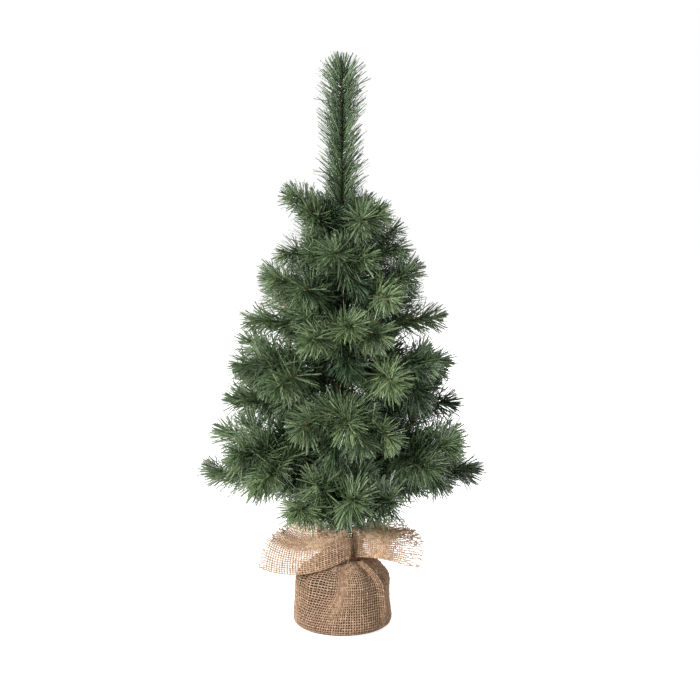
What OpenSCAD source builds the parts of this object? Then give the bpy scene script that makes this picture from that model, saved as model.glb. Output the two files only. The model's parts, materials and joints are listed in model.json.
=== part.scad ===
// Artificial tabletop tree: bendable needle branches on a weighted trunk in a burlap sack.
// The origin is the middle of the underside, on the trunk's axis. The front faces -Y.

/* [Tree] */
// Height from the table to the topmost needle tips
tree_h = 600; // [560:5:660]
// Rings of branches up the trunk
tiers = 8; // [2:1:8]
// Branches in each ring
tier_branches = 3; // [2:1:3]

/* [Base] */
// Outer diameter of the pot at its foot
pot_foot_d = 98; // [88:1:104]
// Outer diameter of the pot at its rim
pot_rim_d = 94; // [88:1:104]
// Height of the pot
pot_h = 44; // [36:1:50]
// Wall and floor thickness of the pot
pot_wall = 1.4; // [0.8:0.1:3]
// Height of the cast weight
weight_h = 36; // [28:1:40]

/* [Trunk] */
// Diameter of the steel rod
rod_d = 6; // [4:0.5:8]
// Depth of the rod's seat in the cast weight
rod_seat = 30; // [15:1:30]
// Outer diameter of the tape wrap
wrap_d = 14; // [12:0.5:18]
// Height at which the wrap starts, inside the sack
wrap_start_z = 52; // [50:1:60]
// Height of the wrap above the roots of the highest branches
wrap_end = 14; // [10:1:24]

/* [Branches] */
// Height of the roots of the lowest branches
first_root_z = 145; // [140:1:160]
// Height of the roots of the highest branches
last_root_z = 411; // [380:1:414]
// Wire length of the lowest branches, from pivot to tip
first_len = 132; // [110:1:140]
// Wire length of the highest branches, from pivot to tip
last_len = 55; // [50:1:70]
// Extra wire length of the middle branches
middle_extra = 8; // [0:1:15]
// Rise of the lowest branches above level, in degrees
first_rise = 4; // [0:1:15]
// Rise of the highest branches above level, in degrees
last_rise = 46; // [30:1:50]
// Further rise of each branch's outer half, in degrees
tip_lift = 5; // [0:1:12]
// Angle between the lowest branches and their side shoots, in degrees
first_fork = 44; // [34:1:48]
// Angle between the highest branches and their side shoots, in degrees
last_fork = 40; // [30:1:44]
// Place of the side shoots along a branch, as a share of its wire
fork_share = 0.36; // [0.3:0.01:0.45]
// Length of a side shoot, as a share of its branch's wire
side_share = 0.62; // [0.5:0.01:0.7]
// Lift of the side shoots of the lowest branches, in degrees
first_side_lift = 0; // [-8:1:4]
// Lift of the side shoots of the highest branches, in degrees
last_side_lift = 5; // [0:1:12]
// Width of a wire core
wire_w = 2.2; // [1.6:0.1:2.6]
// Diameter of the pivot knuckle at a wire's root
knuckle_d = 3.8; // [3.8:0.1:4.4]
// Length of the pivot knuckle
knuckle_len = 5; // [4:0.5:6]
// How far a pivot axis stands out of the wrap
knuckle_out = 0.5; // [0.4:0.1:1]

/* [Needles] */
// Length of a needle
needle_len = 30; // [22:1:34]
// Width of a needle where it leaves its fringe
needle_w = 1.2; // [0.8:0.1:1.6]
// Angle between a needle and its shoot, in degrees
needle_sweep = 45; // [35:1:55]
// Angle of a needle out of its branch's plane, in degrees
needle_tilt = 14; // [10:1:26]
// Spacing of the needle pairs along a shoot
pair_pitch = 26; // [20:1:36]
// Spacing of the needle whorls on the leader
whorl_pitch = 15; // [12:1:24]
// Distance of the last needles from the end of a wire
tip_setback = 8; // [6:1:14]
// Thickness of the fringe's twisted core around a wire
fringe_t = 0.5; // [0.4:0.1:0.8]
// Bare length of wire between a pivot and the first fringe
bare_root = 8; // [7:1:12]
// Bare length of wire at each side of a fork
bare_fork = 9; // [8:1:12]
// Bare length of the leader's wire, among the highest branches
bare_leader = 30; // [26:1:40]

/* [Sack] */
// Thickness of the burlap
cloth_t = 1.6; // [1:0.1:2.4]
// Slack of the sack around the pot
sack_slack = 1.5; // [1.2:0.1:4]
// Height of the middle of the tied neck
neck_z = 78; // [74:1:84]
// Height of the tied neck
neck_h = 11; // [10:1:14]
// Outer diameter of the tied neck
neck_d = 42; // [36:1:48]
// Height of the open mouth above the neck
mouth_h = 18; // [15:1:22]
// How far the mouth flares out from the neck
mouth_flare = 7; // [4:1:12]
// Pleats gathered round the neck
pleats = 11; // [7:1:14]
// Depth of a pleat
pleat_depth = 1.6; // [0.8:0.1:2]

/* [Twine] */
// Diameter of the twine
twine_d = 1.6; // [1.2:0.1:2]
// Turns of twine round the neck
twine_turns = 3; // [2:1:3]
// Clear gap between two turns
twine_gap = 0.6; // [0.5:0.1:0.8]

/* [Fits] */
// Radial clearance of a knuckle in its seat
seat_clear = 0.05; // [0.03:0.01:0.1]
// Radial clearance of the rod in its holes
rod_clear = 0.05; // [0.03:0.01:0.1]
// Clearance of a fringe around its wire
fringe_clear = 0.2; // [0.1:0.05:0.3]
// Clearance of cloth around what it covers, and of the weight in the pot
cloth_clear = 0.3; // [0.2:0.05:0.5]

/* [Hidden] */
branch_count = tiers * tier_branches;
wire_half = wire_w / 2;
bore_half = wire_half + fringe_clear;
fringe_half = bore_half + fringe_t;
knuckle_r = knuckle_d / 2;
seat_r = knuckle_r + seat_clear;
seat_len = knuckle_len + 2 * cloth_clear;
pivot_r = wrap_d / 2 + knuckle_out;
wrap_top_z = last_root_z + wrap_end;
leader_pivot_z = wrap_top_z + knuckle_out;
leader_tip_z = tree_h - needle_len * cos(needle_sweep) + tip_setback;
pot_z = cloth_t;
rim_z = pot_z + pot_h;
weight_z = pot_z + pot_wall;
rod_z = weight_z + weight_h - rod_seat;
rod_top_z = wrap_top_z - rod_d / 2;
neck_r = neck_d / 2;
neck_low_z = neck_z - neck_h / 2;
neck_high_z = neck_z + neck_h / 2;
mouth_z = neck_high_z + mouth_h;
mouth_r = neck_r + mouth_flare;
foot_r = pot_foot_d / 2 + cloth_t + sack_slack;
belly_r = pot_rim_d / 2 + cloth_t + sack_slack;

// The first branch of the lowest tier points straight to the front
first_azimuth = 270;

// Small steady differences from branch to branch, in degrees and millimetres
azimuth_drift = 4;
rise_drift = 1;
length_drift = 4;
roll_drift = 8;
drift_step = 149;

// How much of a pleat shows at the pot's rim, and how far the shoulders are rounded from a cone to an arc
rim_pleat = 0.5;
shoulder_round = 0.5;

// How far a cut runs past the face that it opens
cut_over = 1;

// Steps of the curved forms
round_fn = 48;
belly_steps = 3;
shoulder_steps = 5;
mouth_steps = 2;
pleat_steps = 4;
loop_steps = 24;
twine_sides = 6;
ear_out_steps = 6;
ear_across_steps = 10;

// The corners of a square core, as shares of its half width to the left and up
CORNERS = [[1, 1], [-1, 1], [-1, -1], [1, -1]];
SIDES = len(CORNERS);
RIGHT_SIDE = 1;
LEFT_SIDE = 3;

// Ears of the sack's mouth: rows from the neck outwards, each from the front hem over the crest to the
// back edge. Each point is its distance right of the trunk, behind it, and above the middle of the neck.
left_ear = [
    [[-8, -25, 0], [-14, -27, 6], [-14, -20, 12], [-16, -10, 7], [-16, 8, 13]],
    [[-45, -42, -24], [-50, -40, -2], [-46, -22, 22], [-44, -4, 4], [-38, 10, 26]],
    [[-88, -22, -11], [-84, -24, 4], [-74, -8, 32], [-64, 2, 14], [-56, 14, 36]]
];
right_ear = [
    [[12, -24, 0], [17, -26, 8], [14, -14, 14], [15, 0, 8], [14, 10, 13]],
    [[42, -24, -8], [46, -28, 12], [44, -14, 28], [42, 0, 14], [38, 10, 28]],
    [[80, -18, -12], [90, -16, 5], [80, -6, 26], [72, 2, 16], [66, 12, 30]]
];

function two_digits(n) = str(n < 10 ? "0" : "", n);
function wire_name(i) = str("branch_wire_", two_digits(i + 1));
function needles_name(i) = str("branch_needles_", two_digits(i + 1));

function mix(a, b, t) = a * (1 - t) + b * t;
function unit(v) = v / norm(v);
function flatten(lists) = [for (list = lists) each list];

// Each branch by its number: tiers count from the lowest, and alternate tiers are turned by half a step
function tier_of(i) = floor(i / tier_branches);
function height_share(i) = tier_of(i) / (tiers - 1);
function turn_of(i) = i % tier_branches + (tier_of(i) % 2) / 2;
function azimuth(i) = first_azimuth + turn_of(i) * 360 / tier_branches + azimuth_drift * sin(drift_step * i);
function rise(i) = mix(first_rise, last_rise, height_share(i)) + rise_drift * cos(drift_step * i);
function stem_len(i) = mix(first_len, last_len, height_share(i))
    + middle_extra * sin(180 * height_share(i)) + length_drift * sin(2 * drift_step * i);
function fork_angle(i) = mix(first_fork, last_fork, height_share(i));
function side_lift(i) = mix(first_side_lift, last_side_lift, height_share(i));
function root_z(i) = mix(first_root_z, last_root_z, height_share(i));

function outward(az, el) = [cos(el) * cos(az), cos(el) * sin(az), sin(el)];
function leftward(az) = [-sin(az), cos(az), 0];
function pivot(i) = [pivot_r * cos(azimuth(i)), pivot_r * sin(azimuth(i)), root_z(i)];
function inner_dir(i) = outward(azimuth(i), rise(i));
function outer_dir(i) = outward(azimuth(i), rise(i) + tip_lift);
function fork_len(i) = stem_len(i) * fork_share;
function fork_point(i) = pivot(i) + inner_dir(i) * fork_len(i);
function outer_len(i) = stem_len(i) - fork_len(i);
function side_len(i) = stem_len(i) * side_share;

// The way across a branch in the plane of its fork, which is rolled a little about the branch
function fork_across(i) =
    let (roll = roll_drift * cos(drift_step * i))
    leftward(azimuth(i)) * cos(roll) + cross(inner_dir(i), leftward(azimuth(i))) * sin(roll);

// hand is 1 for the left side shoot and -1 for the right one
function side_left(i, hand) = fork_across(i) * cos(fork_angle(i)) - inner_dir(i) * hand * sin(fork_angle(i));
function side_dir(i, hand) =
    let (level = inner_dir(i) * cos(fork_angle(i)) + fork_across(i) * hand * sin(fork_angle(i)))
    level * cos(side_lift(i)) + cross(inner_dir(i), fork_across(i)) * sin(side_lift(i));

// A square ring round a shoot, at a distance s along it
function ring(start, dir, left, s, half) =
    let (up = cross(dir, left))
    [for (c = CORNERS) start + dir * s + left * c[0] * half + up * c[1] * half];

// The four corners of one facet, between a ring and the next, and the two ways to close it
function facet(r, side) = let (next = (side + 1) % SIDES)
    [r * SIDES + side, (r + 1) * SIDES + side, (r + 1) * SIDES + next, r * SIDES + next];
function flat_facet(q) = [[q[0], q[1], q[2]], [q[0], q[2], q[3]]];
function strand_facet(q, tip) = [for (n = [0 : SIDES - 1]) [q[n], q[(n + 1) % SIDES], tip]];

// A straight run of square wire through rings that are given
module wire_run(rings) {
    last = (len(rings) - 1) * SIDES;
    skin = [for (r = [0 : len(rings) - 2]) for (side = [0 : SIDES - 1]) each flat_facet(facet(r, side))];
    ends = [[0, 1, 2], [0, 2, 3], [last + 3, last + 2, last + 1], [last + 3, last + 1, last]];
    polyhedron(flatten(rings), concat(skin, ends));
}

// Where the strands leave a shoot, counted back from its tip
function strand_places(start_s, tip_s, pitch) =
    [for (s = [tip_s - tip_setback : -pitch : start_s + tip_setback / 2]) s];

// A fringe: a thin sleeve round the wire, with strands drawn out of the sides that are named. Each side
// has its tilt, which changes sign from one place to the next.
module fringe(start, dir, left, start_s, tip_s, pitch, sides, tilt) {
    places = strand_places(start_s, tip_s, pitch);
    count = len(places);
    up = cross(dir, left);
    stops = concat(
        [start_s],
        [for (n = [count - 1 : -1 : 0]) for (end = [-1, 1]) places[n] + end * needle_w / 2],
        [tip_s]
    );
    outer = [for (s = stops) ring(start, dir, left, s, fringe_half)];
    inner = [for (s = [start_s, tip_s]) ring(start, dir, left, s, bore_half)];
    last_ring = len(stops) - 1;
    first_inner = len(stops) * SIDES;
    first_tip = first_inner + 2 * SIDES;
    strands = [for (n = [count - 1 : -1 : 0]) for (k = [0 : len(sides) - 1])
        let (side = sides[k])
        let (c = (CORNERS[side] + CORNERS[(side + 1) % SIDES]) / 2)
        let (across = left * c[0] + up * c[1])
        let (aside = cross(dir, across))
        let (angle = tilt[k] * (n % 2 == 0 ? 1 : -1))
        let (out = across * cos(angle) + aside * sin(angle))
        start + dir * places[n] + across * fringe_half
            + (dir * cos(needle_sweep) + out * sin(needle_sweep)) * needle_len];
    skin = [for (r = [0 : last_ring - 1]) for (side = [0 : SIDES - 1])
        let (k = search(side, sides))
        let (drawn = r % 2 == 1 && len(k) > 0)
        each drawn
            ? strand_facet(facet(r, side), first_tip + (r - 1) / 2 * len(sides) + k[0])
            : flat_facet(facet(r, side))];
    bore = [for (side = [0 : SIDES - 1])
        let (q = facet(0, side))
        each [for (t = flat_facet(q)) [first_inner + t[2], first_inner + t[1], first_inner + t[0]]]];
    ends = [for (side = [0 : SIDES - 1])
        let (next = (side + 1) % SIDES)
        let (far = last_ring * SIDES)
        let (far_inner = first_inner + SIDES)
        each [
            [side, next, first_inner + next],
            [side, first_inner + next, first_inner + side],
            [far + next, far + side, far_inner + side],
            [far + next, far_inner + side, far_inner + next]
        ]];
    polyhedron(concat(flatten(outer), flatten(inner), strands), concat(skin, bore, ends));
}

// A pivot knuckle, with its axis along a level direction
module knuckle(at, along, r, length) {
    translate(at)
        rotate([90, 0, atan2(along[1], along[0]) + 90])
            cylinder(r = r, h = length, center = true, $fn = round_fn);
}

module branch_wire(i) {
    az = azimuth(i);
    left = leftward(az);
    bend = unit(inner_dir(i) + outer_dir(i));
    color("SaddleBrown") {
        wire_run([
            ring(pivot(i), inner_dir(i), left, 0, wire_half),
            ring(fork_point(i), bend, left, 0, wire_half),
            ring(fork_point(i), outer_dir(i), left, outer_len(i), wire_half)
        ]);
        for (hand = [-1, 1])
            wire_run([for (s = [0, side_len(i)])
                ring(fork_point(i), side_dir(i, hand), side_left(i, hand), s, wire_half)]);
        knuckle(pivot(i), left, knuckle_r, knuckle_len);
    }
}

module branch_needles(i) {
    left = leftward(azimuth(i));
    pair = [RIGHT_SIDE, LEFT_SIDE];
    color("DarkOliveGreen") {
        fringe(pivot(i), inner_dir(i), left, bare_root, fork_len(i) - bare_fork / 2, pair_pitch,
            pair, [needle_tilt, -needle_tilt]);
        fringe(fork_point(i), outer_dir(i), left, bare_fork, outer_len(i), pair_pitch,
            pair, [-needle_tilt, needle_tilt]);
        for (hand = [-1, 1])
            fringe(fork_point(i), side_dir(i, hand), side_left(i, hand), bare_fork, side_len(i), pair_pitch,
                pair, [hand * needle_tilt, hand * needle_tilt]);
    }
}

module leader_wire() {
    color("SaddleBrown") {
        wire_run([for (z = [leader_pivot_z, leader_tip_z])
            ring([0, 0, 0], [0, 0, 1], [0, 1, 0], z, wire_half)]);
        knuckle([0, 0, leader_pivot_z], [0, 1, 0], knuckle_r, knuckle_len);
    }
}

module leader_needles() {
    every_side = [0 : SIDES - 1];
    color("DarkOliveGreen")
        fringe([0, 0, 0], [0, 0, 1], [0, 1, 0], leader_pivot_z + bare_leader, leader_tip_z, whorl_pitch,
            [for (side = every_side) side], [for (side = every_side) needle_tilt]);
}

module trunk_rod() {
    color("Gray")
        translate([0, 0, rod_z])
            cylinder(d = rod_d, h = rod_top_z - rod_z, $fn = round_fn);
}

module trunk_wrap() {
    color("DarkSlateGray")
        difference() {
            translate([0, 0, wrap_start_z])
                cylinder(d = wrap_d, h = wrap_top_z - wrap_start_z, $fn = round_fn);
            cylinder(r = rod_d / 2 + rod_clear, h = rod_top_z + rod_clear, $fn = round_fn);
            for (i = [0 : branch_count - 1])
                knuckle(pivot(i), leftward(azimuth(i)), seat_r, seat_len);
            knuckle([0, 0, leader_pivot_z], [0, 1, 0], seat_r, seat_len);
        }
}

module base_weight() {
    foot_in = pot_foot_d / 2 - pot_wall - cloth_clear;
    rim_in = pot_rim_d / 2 - pot_wall - cloth_clear;
    color("Silver")
        difference() {
            translate([0, 0, weight_z])
                cylinder(
                    r1 = foot_in,
                    r2 = mix(foot_in, rim_in, weight_h / pot_h),
                    h = weight_h,
                    $fn = round_fn
                );
            translate([0, 0, rod_z])
                cylinder(r = rod_d / 2 + rod_clear, h = weight_h, $fn = round_fn);
        }
}

module base_pot() {
    color("DimGray")
        translate([0, 0, pot_z])
            difference() {
                cylinder(d1 = pot_foot_d, d2 = pot_rim_d, h = pot_h, $fn = round_fn);
                translate([0, 0, pot_wall])
                    cylinder(
                        d1 = mix(pot_foot_d, pot_rim_d, pot_wall / pot_h) - 2 * pot_wall,
                        d2 = mix(pot_foot_d, pot_rim_d, 1 + pot_wall / pot_h) - 2 * pot_wall,
                        h = pot_h,
                        $fn = round_fn
                    );
            }
}

// Outline of the sack from its foot to its mouth: radius, height and how much of a pleat shows there
function sack_outline() = concat(
    [[foot_r, 0, 0]],
    [for (n = [1 : belly_steps - 1])
        let (t = n / belly_steps)
        [mix(foot_r, belly_r, t), rim_z * t, rim_pleat * t]],
    [for (n = [0 : shoulder_steps])
        let (t = n / shoulder_steps)
        [
            mix(neck_r, belly_r, cos(90 * t)),
            mix(rim_z, neck_low_z, mix(t, sin(90 * t), shoulder_round)),
            mix(rim_pleat, 1, t)
        ]],
    [for (n = [0 : mouth_steps])
        let (t = n / mouth_steps)
        [mix(mouth_r, neck_r, cos(90 * t)), neck_high_z + mouth_h * t, 1]]
);

// The gathered bag as a solid, with its pleats
module sack_outside() {
    outline = sack_outline();
    around = pleats * pleat_steps;
    points = [for (p = outline) for (n = [0 : around - 1])
        let (angle = 360 * n / around)
        let (r = p[0] + p[2] * pleat_depth * cos(pleats * angle))
        [r * cos(angle), r * sin(angle), p[1]]];
    walls = [for (k = [0 : len(outline) - 2]) for (n = [0 : around - 1])
        let (next = (n + 1) % around)
        let (low = k * around)
        let (high = low + around)
        each [[low + n, high + n, high + next], [low + n, high + next, low + next]]];
    foot = [for (n = [0 : around - 1]) n];
    top = [for (n = [around - 1 : -1 : 0]) (len(outline) - 1) * around + n];
    polyhedron(points, concat(walls, [foot, top]));
}

// A point on a smooth curve or a smooth sheet led by its own points
function curve(p, t) = len(p) == 1 ? p[0] : curve([for (n = [0 : len(p) - 2]) mix(p[n], p[n + 1], t)], t);
function sheet_point(rows, u, v) = curve([for (row = rows) curve(row, v)], u);
function sheet_normal(rows, u, v) =
    let (step = 0.01)
    unit(cross(
        sheet_point(rows, u + step, v) - sheet_point(rows, u - step, v),
        sheet_point(rows, u, v + step) - sheet_point(rows, u, v - step)
    ));

// One ear as a sheet of cloth with its thickness
module ear(rows) {
    across = ear_across_steps + 1;
    count = (ear_out_steps + 1) * across;
    spots = [for (n = [0 : ear_out_steps]) for (m = [0 : ear_across_steps])
        [n / ear_out_steps, m / ear_across_steps]];
    points = [for (side = [1, -1]) for (s = spots)
        [0, 0, neck_z] + sheet_point(rows, s[0], s[1]) + sheet_normal(rows, s[0], s[1]) * side * cloth_t / 2];
    cells = [for (n = [0 : ear_out_steps - 1]) for (m = [0 : ear_across_steps - 1]) n * across + m];
    over = [for (c = cells) each [[c, c + 1, c + across + 1], [c, c + across + 1, c + across]]];
    under = [for (t = over) [t[2] + count, t[1] + count, t[0] + count]];
    rim = concat(
        [for (m = [0 : across - 2]) m],
        [for (n = [0 : ear_out_steps - 1]) n * across + across - 1],
        [for (m = [across - 1 : -1 : 1]) ear_out_steps * across + m],
        [for (n = [ear_out_steps : -1 : 1]) n * across]
    );
    edges = [for (n = [0 : len(rim) - 1])
        let (a = rim[n])
        let (b = rim[(n + 1) % len(rim)])
        each [[b, a, a + count], [b, a + count, b + count]]];
    polyhedron(points, concat(over, under, edges));
}

module burlap_sack() {
    mouth_in = wrap_d / 2 + cloth_clear;
    color("Tan")
        difference() {
            union() {
                sack_outside();
                ear(left_ear);
                ear(right_ear);
            }
            translate([0, 0, pot_z])
                cylinder(
                    r1 = pot_foot_d / 2 + cloth_clear,
                    r2 = pot_rim_d / 2 + cloth_clear,
                    h = pot_h,
                    $fn = round_fn
                );
            translate([0, 0, rim_z])
                cylinder(
                    r1 = pot_rim_d / 2 + cloth_clear,
                    r2 = mouth_in,
                    h = neck_low_z - rim_z,
                    $fn = round_fn
                );
            translate([0, 0, rim_z])
                cylinder(r = mouth_in, h = mouth_z - rim_z, $fn = round_fn);
            translate([0, 0, neck_high_z])
                cylinder(
                    r1 = mouth_in,
                    r2 = mix(mouth_in, mouth_r - pleat_depth - cloth_t, 1 + cut_over / mouth_h),
                    h = mouth_h + cut_over,
                    $fn = round_fn
                );
        }
}

// The twine's middle line: straight for one diameter, round the neck, and straight again
twine_r = neck_r + pleat_depth + cloth_clear + twine_d / 2;
twine_pitch = twine_d + twine_gap;
function twine_angle(n) = -90 + 360 * n / loop_steps;
function twine_wound(n) = [
    twine_r * cos(twine_angle(n)),
    twine_r * sin(twine_angle(n)),
    neck_z + twine_pitch * (n / loop_steps - twine_turns / 2)
];
twine_last = twine_turns * loop_steps;
twine_wind = [for (n = [0 : twine_last]) twine_wound(n)];
twine_line = concat(
    [twine_wind[0] + unit(twine_wind[0] - twine_wind[1]) * twine_d],
    twine_wind,
    [twine_wind[twine_last] + unit(twine_wind[twine_last] - twine_wind[twine_last - 1]) * twine_d]
);
function along_twine(n) = unit(twine_line[min(n + 1, len(twine_line) - 1)] - twine_line[max(n - 1, 0)]);
twine_self_gap = min([for (a = [0 : len(twine_line) - 1]) for (b = [a + loop_steps / 2 : len(twine_line) - 1])
    norm(twine_line[a] - twine_line[b])]) - twine_d;
echo(twine_self_gap = twine_self_gap);

module twine_tie() {
    last = (len(twine_line) - 1) * twine_sides;
    points = [for (n = [0 : len(twine_line) - 1])
        let (along = along_twine(n))
        let (up = unit(cross(along, cross([0, 0, 1], along))))
        let (aside = cross(along, up))
        for (k = [0 : twine_sides - 1])
            let (angle = 360 * k / twine_sides)
            twine_line[n] + (up * cos(angle) + aside * sin(angle)) * twine_d / 2];
    skin = [for (n = [0 : len(twine_line) - 2]) for (k = [0 : twine_sides - 1])
        let (next = (k + 1) % twine_sides)
        let (low = n * twine_sides)
        let (high = low + twine_sides)
        each [[low + k, high + k, high + next], [low + k, high + next, low + next]]];
    ends = [
        [for (k = [0 : twine_sides - 1]) k],
        [for (k = [twine_sides - 1 : -1 : 0]) last + k]
    ];
    color("Peru")
        polyhedron(points, concat(skin, ends));
}

base_weight();
base_pot();
trunk_rod();
trunk_wrap();
burlap_sack();
twine_tie();
leader_wire();
leader_needles();
for (i = [0 : branch_count - 1]) {
    branch_wire(i);
    branch_needles(i);
}
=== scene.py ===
"""Looks of an artificial tabletop tree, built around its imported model.

The frame is the model's own: metres, Z up, the front towards -Y, the origin under the middle of the sack.
Sizes below are in millimetres and angles in degrees, as in the model, and MM turns them to metres.
"""

import json
import math

import bpy
import numpy as np
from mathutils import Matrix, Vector


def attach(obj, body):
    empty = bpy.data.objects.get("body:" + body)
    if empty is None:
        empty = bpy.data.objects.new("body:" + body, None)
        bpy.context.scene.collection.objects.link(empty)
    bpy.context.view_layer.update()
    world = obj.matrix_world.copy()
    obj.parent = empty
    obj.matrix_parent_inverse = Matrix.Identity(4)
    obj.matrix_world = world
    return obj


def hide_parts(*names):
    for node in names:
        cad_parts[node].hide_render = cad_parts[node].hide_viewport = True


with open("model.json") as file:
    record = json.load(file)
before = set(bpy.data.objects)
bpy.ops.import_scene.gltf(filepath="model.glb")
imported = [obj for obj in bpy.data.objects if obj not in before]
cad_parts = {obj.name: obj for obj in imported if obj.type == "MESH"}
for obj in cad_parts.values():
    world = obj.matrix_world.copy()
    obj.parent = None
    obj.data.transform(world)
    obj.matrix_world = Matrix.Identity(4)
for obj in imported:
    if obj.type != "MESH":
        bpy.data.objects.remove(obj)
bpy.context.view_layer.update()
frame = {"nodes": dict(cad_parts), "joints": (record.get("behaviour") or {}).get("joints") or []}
scene = bpy.context.scene

MM = 0.001

# Camera: nearly as high as the tree, 1.6 m away, with the tree slightly left of the frame's middle
CAMERA_AT = Vector((8, -1600, 560)) * MM
CAMERA_AIM = Vector((8, 0, 295.2)) * MM
HALF_VIEW = 0.2247  # half the frame's width at a distance of 1
SENSOR = 36

# Branches, as the model sets them out: the lowest tier first
TIER_BRANCHES = 3
TIERS = 8
FIRST_RISE, LAST_RISE, RISE_DRIFT = 4, 46, 1
FIRST_LEN, LAST_LEN, MIDDLE_EXTRA, LENGTH_DRIFT = 132, 55, 8, 4
FIRST_FORK, LAST_FORK, ROLL_DRIFT = 44, 40, 8
FIRST_SIDE_LIFT, LAST_SIDE_LIFT = 0, 5
TIP_LIFT, FORK_SHARE, SIDE_SHARE = 5, 0.36, 0.62
DRIFT_STEP = 149
LEADER_TIP_Z = 583
BARE_ROOT, BARE_FORK, BARE_LEADER = 6, 2, 8
STEM_STEPS, SHOOT_STEPS = 4, 8
# How far a shoot's tip strays: to either side, and upwards at least and at most. Shoots that point to the
# front stray more to the side low on the tree, by this factor, and hang down by this much higher up
STRAY_ASIDE, STRAY_LOW, STRAY_HIGH = 12, -2, 8
FRONT_ASIDE, FRONT_HANG = 1.5, 22
# Shoots bent one by one: branch, counted from 0, then 0 for its stem and 1 or 2 for its left or right side
# shoot, and how far the tip goes to the right and up
BENT = {
    (0, 0): (0, 5),
    (0, 1): (-4, 3),
    (0, 2): (4, 3),
    (1, 0): (8, -8),
    (1, 2): (11, 5),
    (2, 0): (-6, -6),
    (2, 1): (-12, 4),
    (5, 1): (-20, -20),
    (5, 2): (0, 11),
    (7, 2): (3, -2),
    (9, 1): (6, -8),
    (13, 2): (13, -5),
    (14, 1): (-9, -13),
    (20, 0): (10, 0),
    (20, 1): (5, -3),
    (21, 0): (-6, -12),
    (21, 1): (-4, -14),
    (23, 0): (-8, 12),
    (23, 1): (8, 6),
    (23, 2): (-6, 12),
}

# Shoots of a lighter green, named in the same way, and by how much
LIGHTER_SHOOTS = {
    (6, 0): 0.25,
    (6, 1): 0.5,
    (9, 2): 0.4,
    (12, 0): 0.45,
    (12, 1): 0.5,
    (15, 2): 0.55,
    (21, 0): 0.4,
    (23, 0): 0.3,
}
# How light any shoot's green is: at the trunk; its gain per millimetre to the front and to the left, painted
# light from the front left; its spread to either side; what a twig loses, painted shade; and the leader's
TONE, PAINTED_LIGHT_FRONT, PAINTED_LIGHT_LEFT, TONE_SPREAD, TWIG_PAINTED_SHADE, LEADER_TONE = 0.42, 0.0026, 0.0012, 0.3, 0.3, 0.3

# Needles and wires
NEEDLE_LEN, TOP_NEEDLE_LEN, NEEDLE_W, NEEDLE_T = 30, 24, 1.3, 0.45
NEEDLE_SPACING, TOP_SPACING, LEADER_SPACING = 0.165, 0.2, 0.16
NEEDLE_SWEEP = 45
# A needle's share of the sweep and of the length, from and to, its roll in radians, its bow and its taper
SWEEP_LOW, SWEEP_HIGH, SHORTEST, LONGEST = 0.55, 1.35, 0.76, 1.1
NEEDLE_ROLL, NEEDLE_BOW, NEEDLE_TAPER = 0.8, 0.05, 0.7
# The last stretch of a shoot, where the needles close up and shorten to these shares
CROWN, CROWN_SWEEP, CROWN_LENGTH = 12, 0.36, 0.6
# The share of needles that stand out further, and by how much
STRAY_SHARE, STRAY_ANGLE = 0.025, 24
FLATNESS, LEADER_FLATNESS = 0.45, 0.3
RUFFLE, RUFFLE_SIZE, DROOP, TANGLE = 4.2, 30, 0.14, 0.5
LEADER_W, LEADER_RUFFLE = 1.6, 1.26
# Twigs on each branch: how far along it, above or below it, to its left or right
TWIGS = [(0.14, 1, -0.6), (0.2, -1, 0.6), (0.4, 1, 0.4), (0.55, -1, -0.3), (0.6, 0.5, -1), (0.64, -0.3, 1)]
FIRST_TWIG, LAST_TWIG, TOP_TWIGS = 42, 14, 3
TWIG_ANGLE, TWIG_SPREAD, LOW_TWIG = 48, 0.3, 0.5
TRUNK_FRINGE_LOW, TRUNK_FRINGE_HIGH, TRUNK_NEEDLE_LEN = 101, 420, 34
WIRE_D, WIRE_LAY, WIRE_STEP = 1.1, 8, 1.25
KNUCKLE_D, KNUCKLE_LEN = 3.8, 5

# Sack: the cloth's middle line, and the spacing of its yarns
YARN_D, YARN_PITCH, CRIMP = 1.3, 2.8, 0.42
WARPS = 116
POT_FOOT_R, POT_RIM_R, RIM_Z = 49, 47, 45.6
CLOTH_OUT = 2.6
UNDER_Z, FOOT_ROUND = 1.3, 6
NECK_R, NECK_LOW_Z, NECK_Z, NECK_HIGH_Z = 20, 72.5, 78, 83.5
MOUTH_R, MOUTH_Z = 26.5, 101
PLEATS, PLEAT_DEPTH, PLEAT_INSET = 11, 1.7, 2
# The radius inside which every other warp goes into the pleats, and the share of their depth that the pleats
# have at the rim, and what the shoulder adds to it
PLEATED_R, RIM_PLEAT, SHOULDER_PLEAT = 34, 0.35, 0.7
SHOULDER_ROUND, FOOT_TAPER = 0.5, 1.6
SEAM_AT, SEAM_LEAN, SEAM_WIDE, SEAM_HIGH = -39, -0.002, 5, 2
SEAM_LOW_Z, SEAM_FULL_Z, SEAM_MIDDLE_Z, SEAM_HIGH_Z, SEAM_END_Z = 8, 22, 40, 70, 76
FOLD_YARNS, FOLD_HALF, FOLD_HIGH, FOLD_SUNK = 7, 3, 4.6, 0.5
FOLD_FROM, FOLD_TO, FOLD_LOW_Z, FOLD_START_Z, FOLD_FULL_Z = -20, 200, 7, 5, 27
# Warps on the left lean to the front pleat: the middle of the lean, in radians how far and how widely, and
# the heights between which it grows, then those between which the dents grow
LEAN_AT, LEAN, LEAN_WIDE, LEAN_LOW_Z, LEAN_FULL_Z = 236, 0.42, 0.48, 4, 54
DENT_LOW_Z, DENT_FULL_Z = 3, 13
# The hollow behind the fold
HOLLOW_DEEP, HOLLOW_OFF, HOLLOW_WIDE, HOLLOW_LOW_Z, HOLLOW_FULL_Z = 2.2, 11, 7, 50, 58
# The mouth's front between the ears: its middle, its width in radians, and how far it is lower and gathered
FRONT_AT, FRONT_WIDE, FRONT_DIP, FRONT_GATHER = 282, 0.85, 0.25, 0.9
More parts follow.
